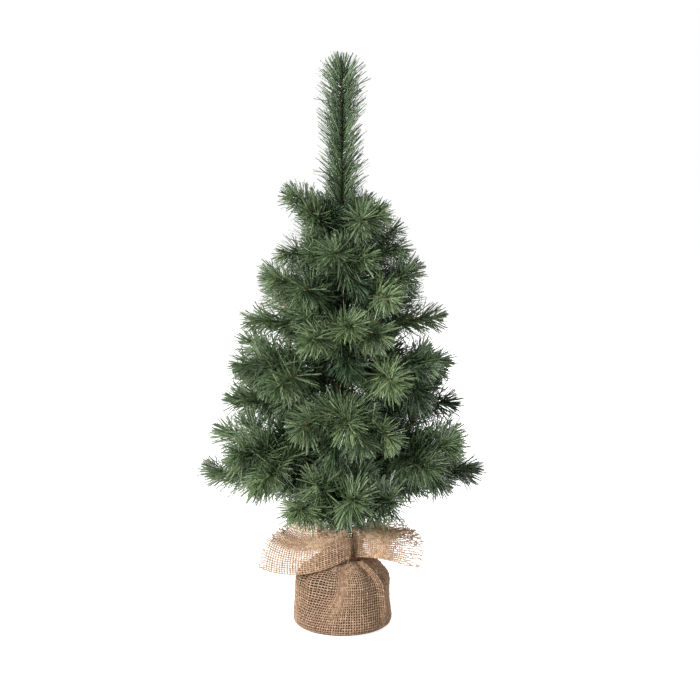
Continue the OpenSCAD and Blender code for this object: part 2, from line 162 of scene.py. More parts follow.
# How thick the yarns look in places, as a share of their size; towards the neck they grow thin
THIN_LOW_Z, THIN_FULL_Z = 62, 74
FLOOR_GIRTH, NECK_GIRTH, PLEAT_GIRTH, FOLD_GIRTH, EAR_GIRTH, LOOSE_GIRTH = 0.68, 0.8, 0.95, 0.9, 0.74, 0.7
EAR_YARNS_OUT, EAR_YARNS_ACROSS, EAR_STRAY, EAR_LOSS = 33, 34, 1.1, 0.9

# Ears: rows from the neck outwards, each from the front hem over the crest to the back edge; each point
# is its distance right of the trunk, behind it and above the middle of the neck
LEFT_EAR = [
    [[8, -26, 1], [9, -30, 12], [8, -26, 36], [5, -24, 38], [-4, -14, 18], [-12, 6, 26]],
    [[-45, -44, -24], [-52, -43, -8], [-47, -30, 2], [-46, -28, 3], [-44, -10, -12], [-38, 10, 30]],
    [[-88, -22, -11], [-87, -25, 6], [-75, -12, 30], [-74, -11, 31], [-64, 2, 8], [-56, 14, 40]],
]
RIGHT_EAR = [
    [[14, -19, 0], [13, -21, 12], [10, -17, 36], [10, -15, 38], [11, -4, 18], [12, 8, 26]],
    [[41, -36, 6], [47, -36, 14], [46, -24, 32], [46, -22, 33], [42, -4, 14], [38, 10, 32]],
    [[80, -22, -12], [90, -20, 5], [82, -10, 28], [82, -9, 29], [74, 2, 14], [66, 12, 32]],
]

# Twine: its turns round the neck
TWINE_D, TWINE_TURNS, TWINE_GAP, TWINE_R, TWINE_LAY, TWINE_STEP = 1.6, 3, 0.6, 23.7, 6, 1
TURN_STEPS = 32

# Stage, in metres and watts: the world's light on the tree, the paper's own glow, and each lamp's name,
# place, size and power: a soft one from the front left, a weak fill from the right, and one behind
WORLD_LIGHT, PAPER_GLOW, PAPER_HALF, LAMP_AIM_Z = 0.21, 0.8, 4, 0.28
LAMPS = [
    ("key", (-1.6, -1.5, 1.05), 0.8, 76),
    ("fill", (1.3, -1.6, 0.7), 1.2, 11),
    ("back", (0.7, 1.8, 1.0), 1.2, 24),
]

SEED = 11


def mix(a, b, t):
    return a * (1 - t) + b * t


def smooth(t):
    t = np.clip(t, 0, 1)
    return t * t * (3 - 2 * t)


def ramp(x, low, high):
    return smooth((x - low) / (high - low))


def hump(x, middle, wide):
    return np.exp(-(((x - middle) / wide) ** 2))


def linear(hex_colour):
    """An sRGB hex colour as linear RGBA."""
    parts = [int(hex_colour[k : k + 2], 16) / 255 for k in (1, 3, 5)]
    return [c / 12.92 if c <= 0.04045 else ((c + 0.055) / 1.055) ** 2.4 for c in parts] + [1]


def add(tree, kind, inputs=None, out=0, **settings):
    """Adds one node with its settings and with what goes into its inputs, and returns one of its outputs."""
    made = tree.nodes.new(kind)
    for name, value in settings.items():
        setattr(made, name, value)
    for key, value in (inputs or {}).items():
        if isinstance(value, bpy.types.NodeSocket):
            tree.links.new(value, made.inputs[key])
        else:
            made.inputs[key].default_value = value
    return made.outputs[out] if len(made.outputs) else made


def maths(tree, operation, *values):
    """A sum, product or the like of up to three numbers."""
    return add(tree, "ShaderNodeMath", dict(enumerate(values)), operation=operation)


def vectors(tree, operation, *values):
    """The sum or difference of two vectors."""
    return add(tree, "ShaderNodeVectorMath", dict(enumerate(values)), operation=operation)


def times(tree, vector, number):
    """A vector at another length."""
    return add(tree, "ShaderNodeVectorMath", {0: vector, "Scale": number}, operation="SCALE")


def ranged(tree, value, to_min, to_max, from_min=0.0, from_max=1.0, **settings):
    """A number taken from one range to another."""
    ends = {"From Min": from_min, "From Max": from_max, "To Min": to_min, "To Max": to_max}
    return add(tree, "ShaderNodeMapRange", {"Value": value, **ends}, **settings)


def noise(tree, place, size, detail):
    """Noise at a place, with lumps of about one size in metres."""
    return add(tree, "ShaderNodeTexNoise", {"Vector": place, "Scale": 1 / size, "Detail": detail})


def blend(tree, share, first, second):
    """A colour between two, each an sRGB hex colour or a socket."""
    first, second = (linear(c) if isinstance(c, str) else c for c in (first, second))
    return add(tree, "ShaderNodeMix", {0: share, 6: first, 7: second}, out=2, data_type="RGBA")


def chance_of(tree, low, high, seed):
    """A random number for each element."""
    return add(tree, "FunctionNodeRandomValue", {2: low, 3: high, "Seed": seed}, out=1)


def heads(tree, probability, seed):
    """Yes or no by chance for each element."""
    values = {"Probability": probability, "Seed": seed}
    return add(tree, "FunctionNodeRandomValue", values, out=3, data_type="BOOLEAN")


def stored(tree, name, kind="FLOAT"):
    """A value that the guide holds at its points or edges."""
    return add(tree, "GeometryNodeInputNamedAttribute", {"Name": name}, data_type=kind)


def marked(tree, geometry, name, value, domain="POINT"):
    """A geometry that holds a value under a name."""
    values = {"Geometry": geometry, "Name": name, "Value": value}
    return add(tree, "GeometryNodeStoreNamedAttribute", values, domain=domain)


def planted(tree, points, instance, **inputs):
    """Copies of one thing at points."""
    return add(tree, "GeometryNodeInstanceOnPoints", {"Points": points, "Instance": instance, **inputs})


def arc(tree, middle, end):
    """A line from the origin, bent once."""
    middle, end = (add(tree, "ShaderNodeCombineXYZ", place) for place in (middle, end))
    values = {"Resolution": 2, "Start": (0, 0, 0), "Middle": middle, "End": end}
    return add(tree, "GeometryNodeCurveQuadraticBezier", values)


def tube(tree, line, section, scale=1.0):
    """A solid along a line, with closed ends."""
    values = {"Curve": line, "Profile Curve": section, "Scale": scale, "Fill Caps": True}
    return add(tree, "GeometryNodeCurveToMesh", values)


def joined(tree, first, second):
    """Two geometries as one."""
    both = add(tree, "GeometryNodeJoinGeometry", {0: first})
    tree.links.new(second, both.node.inputs[0])
    return both


def seen_directly(tree):
    """1 for what the eye sees, also in a gloss or through something, and 0 for light that falls on things."""
    ray = add(tree, "ShaderNodeLightPath", out="Is Camera Ray")
    glossy = maths(tree, "MAXIMUM", ray, ray.node.outputs["Is Glossy Ray"])
    return maths(tree, "MAXIMUM", glossy, ray.node.outputs["Is Transmission Ray"])


# Materials


def new_material(name):
    """An empty node material and its tree."""
    material = bpy.data.materials.new(name)
    material.use_nodes = True
    material.node_tree.nodes.clear()
    return material, material.node_tree


def finished(material, shader):
    """Gives a material its shader, a socket or the values of a common one, and returns the material."""
    tree = material.node_tree
    if isinstance(shader, dict):
        shader = add(tree, "ShaderNodeBsdfPrincipled", shader)
    add(tree, "ShaderNodeOutputMaterial", {"Surface": shader})
    return material


def carried(tree, name):
    """A value that the mesh carries at its points."""
    return add(tree, "ShaderNodeAttribute", out="Fac", attribute_name=name)


def pvc_needle_film():
    """Cut and crimped PVC film: satin green, other from shoot to shoot by chance and by painted light and
    shade, browner and darker where it is twisted in, there partly painted shade.
    """
    material, tree = new_material("pvc_needle_film")
    tone_and_painted_light = carried(tree, "tone_and_painted_light")
    shade = carried(tree, "shade")
    along = carried(tree, "along")
    darker_film = blend(tree, shade, "#1d2c1b", "#627f5b")
    lighter_film = blend(tree, shade, "#415b35", "#a0b685")
    # How much of the lighter film shows is partly painted light and painted shade
    film = blend(tree, tone_and_painted_light, darker_film, lighter_film)
    # Near the shoot the needles turn a dark brown: partly their brown base, partly painted shade inside the
    # brush
    rooted = ranged(tree, along, 0.7, 0, from_max=0.2)
    colour = blend(tree, rooted, film, "#33321f")
    gloss = {"Roughness": 0.27, "IOR": 1.53, "Specular IOR Level": 0.62}
    return finished(material, {"Base Color": colour, **gloss})


def lacquered_wire():
    """Soft iron wire in brown lacquer, twisted in pairs: tan, a little glossy, with darker rubbed patches."""
    material, tree = new_material("lacquered_iron_wire")
    place = add(tree, "ShaderNodeTexCoord", out="Object")
    patches = noise(tree, place, 4 * MM, 3)
    colour = blend(tree, patches, "#5d452b", "#a5834f")
    return finished(material, {"Base Color": colour, "Roughness": 0.5})


def jute(name, dark, middle, light):
    """Spun jute: matt straw-brown yarns, each a little other than the next, with darker slubs along them, and
    paler where light is painted on.
    """
    material, tree = new_material(name)
    place = add(tree, "ShaderNodeTexCoord", out="Object")
    yarn = carried(tree, "yarn")
    slubs = noise(tree, place, 3.2 * MM, 4)
    fibres = noise(tree, place, 0.5 * MM, 2)
    body = blend(tree, yarn, middle, light)
    # Where the guide says so, the yarns are painted paler: painted light
    painted_light = carried(tree, "painted_light")
    body = blend(tree, painted_light, body, "#ecc9a6")
    worn = ranged(tree, slubs, 0.55, 0, from_min=0.35, from_max=0.62)
    colour = blend(tree, worn, body, dark)
    relief = add(tree, "ShaderNodeBump", {"Height": fibres, "Strength": 0.5, "Distance": 0.25 * MM})
    matt = {"Roughness": 0.92, "Specular IOR Level": 0.2}
    return finished(material, {"Base Color": colour, "Normal": relief, **matt})


def crepe_tape():
    """Crepe paper tape wound up the trunk: matt dark green in overlapping slanting bands, finely wrinkled."""
    material, tree = new_material("crepe_paper_tape")
    place = add(tree, "ShaderNodeTexCoord", out="Object")
    apart = add(tree, "ShaderNodeSeparateXYZ", {0: place}, out="Z")
    x, y = apart.node.outputs["X"], apart.node.outputs["Y"]
    angle = maths(tree, "ARCTAN2", y, x)
    turns = maths(tree, "DIVIDE", angle, 2 * math.pi)
    rows = maths(tree, "DIVIDE", apart, 9 * MM)
    wound = maths(tree, "ADD", rows, turns)
    band = maths(tree, "FRACT", wound)
    wrinkles = noise(tree, place, 1.2 * MM, 3)
    mottle = maths(tree, "MULTIPLY", band, wrinkles)
    colour = blend(tree, mottle, "#20241a", "#41442f")
    height = maths(tree, "ADD", band, wrinkles)
    relief = add(tree, "ShaderNodeBump", {"Height": height, "Strength": 0.6, "Distance": 0.6 * MM})
    return finished(material, {"Base Color": colour, "Roughness": 0.8, "Normal": relief})


def moulded_polypropylene():
    """Thin moulded polypropylene: dark brown with a soft gloss and a faint grain."""
    material, tree = new_material("moulded_polypropylene")
    place = add(tree, "ShaderNodeTexCoord", out="Object")
    grain = noise(tree, place, 2 * MM, 2)
    colour = blend(tree, grain, "#3a2316", "#4b2f1f")
    return finished(material, {"Base Color": colour, "Roughness": 0.55})


def cast_concrete():
    """Cast concrete: dull grey, mottled and pitted by air bubbles."""
    material, tree = new_material("cast_concrete")
    place = add(tree, "ShaderNodeTexCoord", out="Object")
    mottle = noise(tree, place, 9 * MM, 6)
    pits = add(tree, "ShaderNodeTexVoronoi", {"Vector": place, "Scale": 1 / (4 * MM)})
    colour = blend(tree, mottle, "#4f4c47", "#7d7971")
    relief = add(tree, "ShaderNodeBump", {"Height": pits, "Strength": 0.4, "Distance": 0.5 * MM})
    return finished(material, {"Base Color": colour, "Roughness": 0.9, "Normal": relief})


def drawn_steel():
    """Drawn steel rod: grey metal with fine lines along it."""
    material, tree = new_material("drawn_steel")
    place = add(tree, "ShaderNodeTexCoord", out="Object")
    lines = add(tree, "ShaderNodeMapping", {"Vector": place, "Scale": (1, 1, 0.02)})
    streaks = noise(tree, lines, 0.6 * MM, 2)
    roughness = ranged(tree, streaks, 0.28, 0.5)
    return finished(material, {"Base Color": linear("#b4b2ae"), "Metallic": 1, "Roughness": roughness})


def studio_paper():
    """Seamless white paper: it shows as white to the eye and still takes the tree's shadow."""
    material, tree = new_material("studio_paper")
    glow = maths(tree, "MULTIPLY", seen_directly(tree), PAPER_GLOW)
    paper = add(tree, "ShaderNodeBsdfDiffuse", {"Color": linear("#f2f1ef")})
    light = add(tree, "ShaderNodeEmission", {"Strength": glow})
    return finished(material, add(tree, "ShaderNodeAddShader", {0: paper, 1: light}))


# Geometry Nodes trees


def geometry_tree(name, labels):
    """A new tree with a geometry in and out and an input for each label: the tree, its inputs, its end."""
    kinds = {"Seed": "Int", "Hinge Axis": "Vector", "Material": "Material"}
    tree = bpy.data.node_groups.new(name, "GeometryNodeTree")
    tree.interface.new_socket("Geometry", in_out="OUTPUT", socket_type="NodeSocketGeometry")
    tree.interface.new_socket("Geometry", in_out="INPUT", socket_type="NodeSocketGeometry")
    for label in labels:
        kind = "NodeSocket" + kinds.get(label, "Float")
        tree.interface.new_socket(label, in_out="INPUT", socket_type=kind)
    return tree, tree.nodes.new("NodeGroupInput").outputs, tree.nodes.new("NodeGroupOutput").inputs[0]


def end_tree(tree, geometry, material, end, smoothed=False):
    """Ends a tree with plain meshes in one material."""
    real = add(tree, "GeometryNodeRealizeInstances", {"Geometry": geometry})
    if smoothed:
        real = add(tree, "GeometryNodeSetShadeSmooth", {"Geometry": real})
    tree.links.new(add(tree, "GeometryNodeSetMaterial", {"Geometry": real, "Material": material}), end)


def grown(name, guide, tree, values):
    """Runs a tree on a guide mesh and returns what grew there as an object with a plain mesh."""
    source = bpy.data.objects.new(name + "_guide", guide)
    scene.collection.objects.link(source)
    modifier = source.modifiers.new("grow", "NODES")
    modifier.node_group = tree
    for socket in tree.interface.items_tree:
        if socket.name in values:
            modifier[socket.identifier] = values[socket.name]
    depsgraph = bpy.context.evaluated_depsgraph_get()
    mesh = bpy.data.meshes.new_from_object(source.evaluated_get(depsgraph), depsgraph=depsgraph)
    mesh.name = name
    bpy.data.objects.remove(source)
    piece = bpy.data.objects.new(name, mesh)
    scene.collection.objects.link(piece)
    return piece


def needle_fringe_tree():
    """Needles round every shoot of a guide: they sweep forward, and close to a round brush at its end."""
    sizes = ["Needle Length", "Needle Width", "Needle Thickness", "Spacing", "Sweep", "Crown"]
    looks = ["Flatness", "Ruffle", "Ruffle Size", "Droop", "Tangle", "Seed", "Material"]
    tree, given, end = geometry_tree("needle_fringe", sizes + looks)
    # One needle: a flat three-sided section, bowed and tapering, along its own Z
    middle = maths(tree, "MULTIPLY", given["Needle Length"], 0.5)
    bow = maths(tree, "MULTIPLY", given["Needle Length"], NEEDLE_BOW)
    line = arc(tree, {"X": bow, "Z": middle}, {"Z": given["Needle Length"]})
    along = add(tree, "GeometryNodeSplineParameter", out="Factor")
    line = marked(tree, line, "along", along)
    corner = maths(tree, "DIVIDE", given["Needle Width"], math.sqrt(3))
    flat = maths(tree, "DIVIDE", given["Needle Thickness"], given["Needle Width"])
    section = add(
        tree,
        "GeometryNodeTransform",
        {
            "Geometry": add(tree, "GeometryNodeCurvePrimitiveCircle", {"Resolution": 3, "Radius": corner}),
            "Rotation": (0, 0, math.radians(90)),
            "Scale": add(tree, "ShaderNodeCombineXYZ", {"X": flat, "Y": 1, "Z": 1}),
        },
    )
    needle = tube(tree, line, section, ranged(tree, along, 1, NEEDLE_TAPER, from_min=0.3))

    # Their places on the shoots, and how near each is to the shoot's end
    shoots = add(tree, "GeometryNodeMeshToCurve", {"Mesh": given["Geometry"]})
    evenly = {"Curve": shoots, "Length": given["Spacing"]}
    places = add(tree, "GeometryNodeResampleCurve", evenly, mode="LENGTH")
    run = add(tree, "GeometryNodeSplineParameter", out="Length")
    whole = add(tree, "GeometryNodeSplineLength", out="Length")
    left = maths(tree, "SUBTRACT", whole, run)
    crown = ranged(tree, left, 1, 0, from_max=given["Crown"], interpolation_type="SMOOTHSTEP")
    bare = stored(tree, "bare")
    grows = add(tree, "FunctionNodeCompare", {0: run, 1: bare}, operation="GREATER_THAN")

    # Each needle's sweep, its turn round the shoot and its own roll
    seeds = [maths(tree, "ADD", given["Seed"], k) for k in range(8)]
    jitter = chance_of(tree, SWEEP_LOW, SWEEP_HIGH, seeds[0])
    swept = maths(tree, "MULTIPLY", given["Sweep"], jitter)
    closing = ranged(tree, crown, 1, CROWN_SWEEP)
    swept = maths(tree, "MULTIPLY", swept, closing)
    stray = heads(tree, STRAY_SHARE, seeds[1])
    astray = maths(tree, "MULTIPLY_ADD", stray, math.radians(STRAY_ANGLE), swept)
    # Packed flat for a while, a shoot's needles keep to two opposite sides of it
    comb = stored(tree, "comb")
    sided = maths(tree, "MULTIPLY_ADD", heads(tree, 0.5, seeds[6]), math.pi, comb)
    fan = chance_of(tree, -math.pi / 2, math.pi / 2, seeds[2])
    open_fan = maths(tree, "SUBTRACT", 1, given["Flatness"])
    full = ranged(tree, crown, open_fan, 1)
    spin = maths(tree, "MULTIPLY_ADD", fan, full, sided)
    roll = chance_of(tree, -NEEDLE_ROLL, NEEDLE_ROLL, seeds[3])
    tangent = add(tree, "GeometryNodeInputTangent")
    turned = add(tree, "FunctionNodeAlignRotationToVector", {"Vector": tangent}, axis="Z")
    for axis, angle in (((0, 0, 1), spin), ((0, 1, 0), astray), ((0, 0, 1), roll)):
        step = add(tree, "FunctionNodeAxisAngleToRotation", {"Axis": axis, "Angle": angle})
        turned = add(tree, "FunctionNodeRotateRotation", {0: turned, 1: step}, rotation_space="LOCAL")
    # Handling ruffles neighbouring needles the same way, and they hang a little
    often = maths(tree, "DIVIDE", 1, given["Ruffle Size"])
    place = add(tree, "GeometryNodeInputPosition")
    rough = {"Vector": place, "Scale": often, "Detail": 5, "Roughness": 0.9}
    lumps = add(tree, "ShaderNodeTexNoise", rough, out="Color")
    centred = vectors(tree, "SUBTRACT", lumps, (0.5, 0.5, 0.5))
    ruffled = times(tree, centred, given["Ruffle"])
    straight = add(tree, "FunctionNodeRotateVector", {0: (0, 0, 1), 1: turned})
    leaning = vectors(tree, "ADD", straight, ruffled)
    sag = add(tree, "ShaderNodeCombineXYZ", {"Z": given["Droop"]})
    leaning = vectors(tree, "SUBTRACT", leaning, sag)
    # Each needle also leaves its neighbours' direction a little, so that they cross
    anyhow = {0: (-1, -1, -1), 1: (1, 1, 1), "Seed": seeds[7]}
    own = add(tree, "FunctionNodeRandomValue", anyhow, data_type="FLOAT_VECTOR")
    tangled = times(tree, own, given["Tangle"])
    leaning = vectors(tree, "ADD", leaning, tangled)
    turned = add(tree, "FunctionNodeAlignRotationToVector", {"Rotation": turned, "Vector": leaning}, axis="Z")
    length = chance_of(tree, SHORTEST, LONGEST, seeds[4])
    shorter = ranged(tree, crown, 1, CROWN_LENGTH)
    length = maths(tree, "MULTIPLY", length, shorter)
    scale = add(tree, "ShaderNodeCombineXYZ", {"X": 1, "Y": 1, "Z": length})
    needles = planted(tree, places, needle, Selection=grows, Rotation=turned, Scale=scale)
    needles = marked(tree, needles, "shade", chance_of(tree, 0, 1, seeds[5]), "INSTANCE")
    end_tree(tree, needles, given["Material"], end)
    return tree


def twisted_wire_tree():
    """Two wires wound round each other along every shoot of a guide, with the knuckle at its root."""
    sizes = ["Wire Diameter", "Lay", "Step", "Knuckle Diameter", "Knuckle Length"]
    tree, given, end = geometry_tree("twisted_wire", sizes + ["Hinge Axis", "Material"])
    shoots = add(tree, "GeometryNodeMeshToCurve", {"Mesh": given["Geometry"]})
    fine = add(tree, "GeometryNodeResampleCurve", {"Curve": shoots, "Length": given["Step"]}, mode="LENGTH")
    run = add(tree, "GeometryNodeSplineParameter", out="Length")
    turns = maths(tree, "DIVIDE", run, given["Lay"])
    radius = maths(tree, "MULTIPLY", given["Wire Diameter"], 0.5)
    section = add(tree, "GeometryNodeCurvePrimitiveCircle", {"Resolution": 5, "Radius": radius})
    wires = []
    for phase in (0, math.pi):
        angle = maths(tree, "MULTIPLY_ADD", turns, 2 * math.pi, phase)
        side = add(
            tree,
            "ShaderNodeVectorRotate",
            {
                "Vector": add(tree, "GeometryNodeInputNormal"),
                "Axis": add(tree, "GeometryNodeInputTangent"),
                "Angle": angle,
            },
            rotation_type="AXIS_ANGLE",
        )
        offset = times(tree, side, radius)
        wound = add(tree, "GeometryNodeSetPosition", {"Geometry": fine, "Offset": offset})
        wires.append(tube(tree, wound, section))
    barrel_r = maths(tree, "MULTIPLY", given["Knuckle Diameter"], 0.5)
    barrel = add(
        tree,
        "GeometryNodeMeshCylinder",
        {"Vertices": 24, "Radius": barrel_r, "Depth": given["Knuckle Length"]},
    )
    rooted = stored(tree, "rooted")
    first = add(tree, "GeometryNodeCurveEndpointSelection", {"Start Size": 1, "End Size": 0})
    at_root = add(tree, "FunctionNodeBooleanMath", {0: rooted, 1: first}, operation="AND")
    turned = add(tree, "FunctionNodeAlignRotationToVector", {"Vector": given["Hinge Axis"]}, axis="Z")
    knuckle = planted(tree, fine, barrel, Selection=at_root, Rotation=turned)
    pair = add(tree, "GeometryNodeSetShadeSmooth", {"Geometry": joined(tree, *wires)})
    end_tree(tree, joined(tree, pair, knuckle), given["Material"], end)
    return tree


def open_weave_tree():
    """Yarns along the lines of a guide, over and under each other, uneven, a little astray and hairy."""
    yarn_sizes = ["Yarn Diameter", "Crimp", "Wander", "Slub Length"]
    fibre_sizes = ["Fibre Length", "Fibre Diameter", "Fibre Density"]
    tree, given, end = geometry_tree("open_weave", yarn_sizes + fibre_sizes + ["Seed", "Material"])
    weft = stored(tree, "weft", "BOOLEAN")
    warp = add(tree, "FunctionNodeBooleanMath", {0: weft}, operation="NOT")
    out = stored(tree, "out", "FLOAT_VECTOR")
    over = stored(tree, "over")
    girth = stored(tree, "girth")
    radius = maths(tree, "MULTIPLY", given["Yarn Diameter"], 0.5)
    section = add(tree, "GeometryNodeCurvePrimitiveCircle", {"Resolution": 4, "Radius": radius})
    place = add(tree, "GeometryNodeInputPosition")
    often = maths(tree, "DIVIDE", 1, given["Slub Length"])
    yarns = []
    for number, (lines, sign) in enumerate(((warp, 1), (weft, -1))):
        seed = maths(tree, "ADD", given["Seed"], number)
        shifted = vectors(tree, "ADD", place, (number, 0, 0))
        lumps = add(tree, "ShaderNodeTexNoise", {"Vector": shifted, "Scale": often, "Detail": 1}, out="Color")
        centred = vectors(tree, "SUBTRACT", lumps, (0.5, 0.5, 0.5))
        astray = times(tree, centred, given["Wander"])
        lift = maths(tree, "MULTIPLY", over, given["Crimp"])
        lift = maths(tree, "MULTIPLY", lift, sign)
        lift = maths(tree, "MULTIPLY", lift, girth)
        raised = times(tree, out, lift)
        offset = vectors(tree, "ADD", raised, astray)
        curve = add(tree, "GeometryNodeMeshToCurve", {"Mesh": given["Geometry"], "Selection": lines})
        tint = chance_of(tree, 0, 1, seed)
        curve = marked(tree, curve, "yarn", tint, "CURVE")
        curve = add(tree, "GeometryNodeSetPosition", {"Geometry": curve, "Offset": offset})
        grey = add(tree, "ShaderNodeTexNoise", {"Vector": shifted, "Scale": often, "Detail": 2})
        slub = ranged(tree, grey, 0.78, 1.22, from_min=0.3, from_max=0.7)
        thick = maths(tree, "MULTIPLY", slub, girth)
        yarns.append(tube(tree, curve, section, thick))
    cloth = joined(tree, *yarns)

    # One stray fibre, bent over, and its places on the yarns
    length = given["Fibre Length"]
    up = maths(tree, "MULTIPLY", length, 0.55)
    aside = maths(tree, "MULTIPLY", length, 0.8)
    line = arc(tree, {"Z": up}, {"X": aside, "Z": up})
    fine = maths(tree, "MULTIPLY", given["Fibre Diameter"], 0.5)
    round_fibre = add(tree, "GeometryNodeCurvePrimitiveCircle", {"Resolution": 3, "Radius": fine})
    fibre = tube(tree, line, round_fibre)
    raised = add(tree, "ShaderNodeSeparateXYZ", {0: place}, out="Z")
    off_table = add(tree, "FunctionNodeCompare", {0: raised, 1: length}, operation="GREATER_THAN")
    spots = add(
        tree,
        "GeometryNodeDistributePointsOnFaces",
        {"Mesh": cloth, "Selection": off_table, "Density": given["Fibre Density"], "Seed": given["Seed"]},
    )
    turn = chance_of(tree, 0, 2 * math.pi, given["Seed"])
    spin = add(tree, "FunctionNodeAxisAngleToRotation", {"Axis": (0, 0, 1), "Angle": turn})
    standing = spots.node.outputs["Rotation"]
    turned = add(tree, "FunctionNodeRotateRotation", {0: standing, 1: spin}, rotation_space="LOCAL")
    size = chance_of(tree, 0.4, 1, given["Seed"])
    fibres = planted(tree, spots, fibre, Rotation=turned, Scale=size)
    end_tree(tree, joined(tree, cloth, fibres), given["Material"], end, smoothed=True)
    return tree


# Guides


def guide_mesh(name, lines, values):
    """A mesh of open lines, with each named value at its points."""
    points = [p for line in lines for p in line]
    edges, first = [], 0
    for line in lines:
        edges += [(first + k, first + k + 1) for k in range(len(line) - 1)]
        first += len(line)
    mesh = bpy.data.meshes.new(name)
    mesh.from_pydata(points, edges, [])
    for label, per_line in values.items():
        attribute = mesh.attributes.new(label, "FLOAT", "POINT")
        attribute.data.foreach_set("value", [v for line, v in zip(lines, per_line) for _ in line])
    return mesh


def outward(azimuth, rise):
    level = math.cos(rise)
    return Vector((level * math.cos(azimuth), level * math.sin(azimuth), math.sin(rise)))


def branch_lines(number, joint):
    """A branch's wires as lines in metres: its stem, its left and right side shoots, then its twigs."""
    chance = np.random.default_rng([SEED, number])
    height = (number // TIER_BRANCHES) / (TIERS - 1)
    drift = math.radians(DRIFT_STEP * number)
    pivot = Vector(joint["pos_m"])
    leftward = -Vector(joint["axis"])
    azimuth = math.atan2(pivot.y, pivot.x)
    rise = math.radians(mix(FIRST_RISE, LAST_RISE, height) + RISE_DRIFT * math.cos(drift))
    length = mix(FIRST_LEN, LAST_LEN, height) + MIDDLE_EXTRA * math.sin(math.pi * height)
    length = (length + LENGTH_DRIFT * math.sin(2 * drift)) * MM
    inner = outward(azimuth, rise)
    outer = outward(azimuth, rise + math.radians(TIP_LIFT))
    up = inner.cross(leftward)
    fork = pivot + inner * length * FORK_SHARE
    turn = math.radians(mix(FIRST_FORK, LAST_FORK, height))
    lift = math.radians(mix(FIRST_SIDE_LIFT, LAST_SIDE_LIFT, height))
    roll = math.radians(ROLL_DRIFT * math.cos(drift))
    across = leftward * math.cos(roll) + up * math.sin(roll)

    def curl(start, direction, run):
        """A shoot that leaves straight and then strays: mostly upwards, but down where it points forward."""
        front = smooth(-1.5 * direction.y)
        astray = chance.uniform(-STRAY_ASIDE, STRAY_ASIDE)
        aside = direction.cross(up).normalized() * astray * mix(1, FRONT_ASIDE, front * (1 - height)) * MM
        hang = FRONT_HANG * front * smooth(4 * height)
        rising = up * (chance.uniform(STRAY_LOW, STRAY_HIGH) - hang) * MM
        shares = [k / SHOOT_STEPS for k in range(SHOOT_STEPS + 1)]
        return [start + direction * run * t + (aside + rising) * t * t for t in shares]

    stem = [pivot + (fork - pivot) * k / STEM_STEPS for k in range(STEM_STEPS)]
    lines = [stem + curl(fork, outer, length * (1 - FORK_SHARE))]
    for hand in (1, -1):
        level = inner * math.cos(turn) + across * hand * math.sin(turn)
        direction = level * math.cos(lift) + inner.cross(across) * math.sin(lift)
        lines.append(curl(fork, direction, length * SIDE_SHARE))
    # Short twigs fill the crown between the tiers
    turn = math.radians(TWIG_ANGLE)
    twig = mix(FIRST_TWIG, LAST_TWIG, height) * MM
    for share, above, beside in TWIGS[: TOP_TWIGS if height > 0.5 else None]:
        beyond = max(0, share - FORK_SHARE)
        start = pivot + (inner * (share - beyond) + outer * beyond) * length
        spread = chance.uniform(-TWIG_SPREAD, TWIG_SPREAD)
        aside = (up * above + leftward * (beside + spread)).normalized()
        direction = outer * math.cos(turn) + aside * math.sin(turn)
        # Below the lowest tier they stay short, clear of the sack
        lines.append(curl(start, direction, twig * (LOW_TWIG if above < 0 and height == 0 else 1)))
    for (branch, shoot), (right, rise) in BENT.items():
        if branch == number:
            bent = lines[shoot]
            last = len(bent) - 1
            lines[shoot] = [p + Vector((right, 0, rise)) * MM * (k / last) ** 2 for k, p in enumerate(bent)]
    return lines


def shoot_tones_and_painted_light(number, lines):
    """How light each shoot's green is: by chance, with painted light to the front and left, painted shade to
    the right and on twigs.
    """
    chance = np.random.default_rng([SEED, number, 1])
    tones_and_painted_light = []
    for place, line in enumerate(lines):
        tip = line[-1] / MM
        # The gain to the front and left is painted light, what a twig loses is painted shade, and the spread
        # is by chance
        tone_and_painted_light = TONE - PAINTED_LIGHT_FRONT * tip.y - PAINTED_LIGHT_LEFT * tip.x + chance.uniform(-TONE_SPREAD, TONE_SPREAD)
        tone_and_painted_light -= TWIG_PAINTED_SHADE if place > 2 else 0
        tone_and_painted_light += LIGHTER_SHOOTS.get((number, place), 0)
        tones_and_painted_light.append(min(1, max(0, tone_and_painted_light)))
    return tones_and_painted_light


